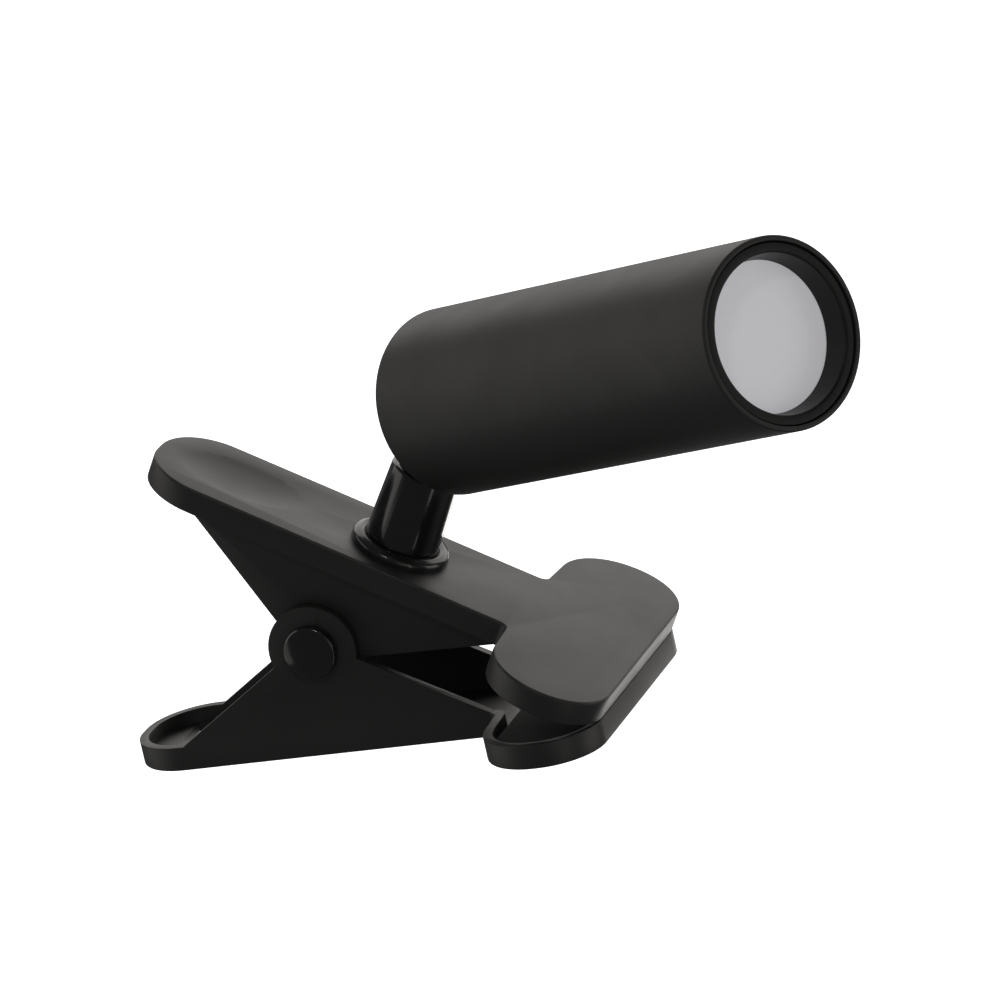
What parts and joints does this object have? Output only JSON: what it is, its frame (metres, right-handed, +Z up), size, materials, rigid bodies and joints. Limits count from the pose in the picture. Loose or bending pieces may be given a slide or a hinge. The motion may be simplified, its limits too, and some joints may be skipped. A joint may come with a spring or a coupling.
{
  "type": "clip-on reading lamp",
  "caption": "Clip-on reading lamp: a spring clip with wide jaws, a short swivelling stem and a tilting cylindrical LED head, cordless and charged through a socket at the rear.",
  "frame": {"origin": "middle of the jaws' front edge, where the two jaws meet", "axes": "+X out of the jaws, +Y across them, +Z up; the jaws meet in the plane z = 0"},
  "size_m": [0.1658, 0.1157, 0.1576],
  "materials": {
    "clip_plastic": "satin moulded",
    "grip_rubber": "matte",
    "bright_steel": "plated",
    "inner_plastic": "plain",
    "gloss_black": "polished",
    "dark_steel": "blackened",
    "tube_black": "satin powder coat",
    "cap_plastic": "satin moulded",
    "button_plastic": "fine satin",
    "light_pipe": "clear",
    "board_green": "solder mask",
    "chip_black": "moulded",
    "cell_wrap": "shrink wrap",
    "cradle_plastic": "plain",
    "lead_red": "insulation",
    "sink_aluminium": "cast",
    "board_white": "white solder mask",
    "led_phosphor": "phosphor gel",
    "reflector_white": "white",
    "opal": "opal, soft gloss",
    "bezel_black": "satin"
  },
  "bodies": {
    "upper_jaw": {"upper_jaw": "clip_plastic", "upper_grip_pad": "grip_rubber", "stem_collar": "gloss_black", "torsion_spring": "bright_steel"},
    "lower_jaw": {"lower_jaw": "clip_plastic", "lower_grip_pad": "grip_rubber", "pivot_pin": "bright_steel", "pivot_sleeve": "inner_plastic", "pin_cap_left": "gloss_black", "pin_cap_right": "gloss_black"},
    "stem": {"stem": "gloss_black", "stem_screw": "dark_steel", "stem_washer": "bright_steel", "wave_washer": "bright_steel"},
    "head": {"tilt_screw": "dark_steel", "tilt_nut": "dark_steel", "tilt_washers": "bright_steel", "head_tube": "tube_black", "rear_cap": "cap_plastic", "cap_screws": "dark_steel", "tact_switch": "inner_plastic", "usb_socket": "bright_steel", "charge_light": "light_pipe", "control_board": "board_green", "board_parts": "chip_black", "battery_cell": "cell_wrap", "battery_cradle": "cradle_plastic", "battery_leads": "lead_red", "heat_sink": "sink_aluminium", "led_board": "board_white", "led_screws": "bright_steel", "led_emitters": "led_phosphor", "led_leads": "lead_red", "reflector": "reflector_white", "diffuser": "opal", "front_bezel": "bezel_black"},
    "button": {"power_button": "button_plastic"}
  },
  "joints": [
    {"name": "jaw_hinge", "type": "hinge", "parent": "upper_jaw", "child": "lower_jaw", "pos_m": [-0.06813, 0, 0], "axis": [0, 1, 0], "range_deg": [0, 60], "stiffness_Nm_per_rad": 0.9, "springref_deg": -51.57, "deforming": ["torsion_spring"]},
    {"name": "stem_swivel", "type": "hinge", "parent": "upper_jaw", "child": "stem", "pos_m": [-0.05385, 0, 0.02073], "axis": [0.2679, 0, 0.9634], "continuous": true},
    {"name": "head_tilt", "type": "hinge", "parent": "stem", "child": "head", "pos_m": [-0.04635, 0, 0.04771], "axis": [0.6257, 0.7604, -0.174], "range_deg": [-100, 20]},
    {"name": "button_press", "type": "slide", "parent": "head", "child": "button", "axis": [0.7471, -0.52, 0.414], "range_m": [0, 0.0006], "stiffness_N_per_m": 400, "springref_m": -0.0005}
  ]
}
